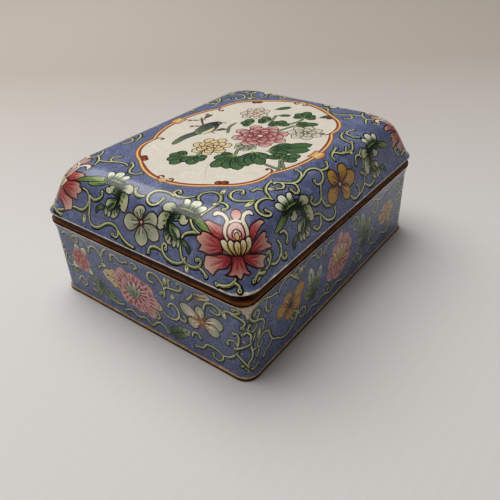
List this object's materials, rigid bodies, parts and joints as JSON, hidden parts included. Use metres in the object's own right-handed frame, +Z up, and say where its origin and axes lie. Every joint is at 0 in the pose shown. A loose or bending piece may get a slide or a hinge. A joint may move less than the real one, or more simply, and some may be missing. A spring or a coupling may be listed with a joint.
{
  "type": "enamelled copper lidded box",
  "caption": "Low oblong trinket box of painted enamel on copper, with a domed lift-off lid, rounded corners, a bare copper seam and a flat foot rim.",
  "frame": {"origin": "centre of the underside, on the surface that the box stands on", "axes": "+Z up, +Y along the length, +X across the width"},
  "size_m": [0.0798, 0.1008, 0.0451],
  "materials": {
    "base_enamel": "glossy opaque blue enamel painted with flowers and scrolls",
    "lid_enamel": "glossy opaque blue enamel with an ivory picture panel",
    "bare_copper": "bare copper, worn and browned"
  },
  "bodies": {
    "root": {"base": "base_enamel", "rim_collar": "bare_copper", "lid": "lid_enamel"}
  },
  "joints": []
}
